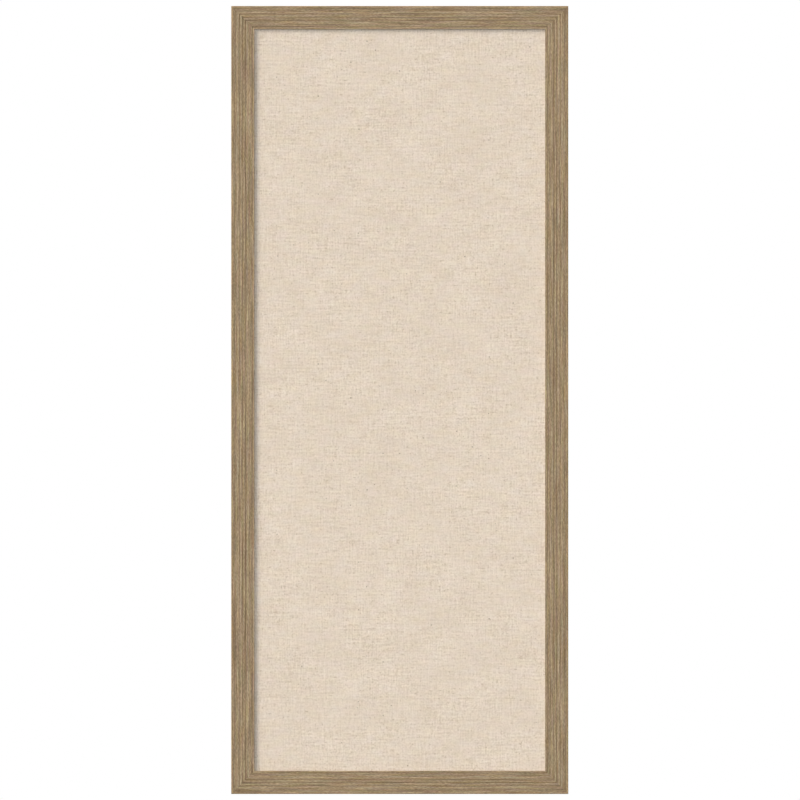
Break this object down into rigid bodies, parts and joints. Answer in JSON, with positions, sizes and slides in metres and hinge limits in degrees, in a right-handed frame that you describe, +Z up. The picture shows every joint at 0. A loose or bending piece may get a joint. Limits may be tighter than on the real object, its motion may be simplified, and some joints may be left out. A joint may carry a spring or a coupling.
{
  "type": "pin board",
  "caption": "Tall linen-covered cork pin board in a mitred, grooved wooden frame, hung from D-ring hangers on its back.",
  "frame": {"origin": "on the wall plane, midway between the points where the two wall hooks carry the D-rings", "axes": "+X to the viewer's right along the frame's width, +Y into the wall, so the linen faces -Y, +Z up along the frame's height"},
  "size_m": [0.4558, 0.023, 1.0653],
  "materials": {
    "frame_wood": "weathered greige stain over fine straight grain, dull",
    "linen": "natural unbleached plain weave",
    "cork": "pressed granules",
    "hardboard": "brown pressed fibre, screen-marked back",
    "fastener_steel": "plain bright steel",
    "hanger_nickel": "nickel plate, satin",
    "screw_zinc": "yellow zinc plate",
    "bumper_rubber": "matt"
  },
  "bodies": {
    "board": {"top_rail": "frame_wood", "bottom_rail": "frame_wood", "left_stile": "frame_wood", "right_stile": "frame_wood", "linen_cover": "linen", "cork_sheet": "cork", "backing_board": "hardboard", "v_nail_top_left_1": "fastener_steel", "v_nail_top_left_2": "fastener_steel", "v_nail_top_right_1": "fastener_steel", "v_nail_top_right_2": "fastener_steel", "v_nail_bottom_left_1": "fastener_steel", "v_nail_bottom_left_2": "fastener_steel", "v_nail_bottom_right_1": "fastener_steel", "v_nail_bottom_right_2": "fastener_steel", "retaining_point_top_rail_1": "fastener_steel", "retaining_point_top_rail_2": "fastener_steel", "retaining_point_bottom_rail_1": "fastener_steel", "retaining_point_bottom_rail_2": "fastener_steel", "retaining_point_left_stile_1": "fastener_steel", "retaining_point_left_stile_2": "fastener_steel", "retaining_point_left_stile_3": "fastener_steel", "retaining_point_left_stile_4": "fastener_steel", "retaining_point_left_stile_5": "fastener_steel", "retaining_point_right_stile_1": "fastener_steel", "retaining_point_right_stile_2": "fastener_steel", "retaining_point_right_stile_3": "fastener_steel", "retaining_point_right_stile_4": "fastener_steel", "retaining_point_right_stile_5": "fastener_steel", "hanger_strap_left": "hanger_nickel", "hanger_strap_right": "hanger_nickel", "hanger_screw_left_upper": "screw_zinc", "hanger_screw_left_lower": "screw_zinc", "hanger_screw_right_upper": "screw_zinc", "hanger_screw_right_lower": "screw_zinc", "bumper_left": "bumper_rubber", "bumper_right": "bumper_rubber"},
    "ring_left": {"hanger_ring_left": "hanger_nickel"},
    "ring_right": {"hanger_ring_right": "hanger_nickel"}
  },
  "joints": [
    {"name": "ring_left_swing", "type": "hinge", "parent": "board", "child": "ring_left", "pos_m": [-0.21593, -0.0021, -0.013], "axis": [-1, 0, 0], "range_deg": [-2.5, 176]},
    {"name": "ring_right_swing", "type": "hinge", "parent": "board", "child": "ring_right", "pos_m": [0.21593, -0.0021, -0.013], "axis": [-1, 0, 0], "range_deg": [-2.5, 176]}
  ]
}
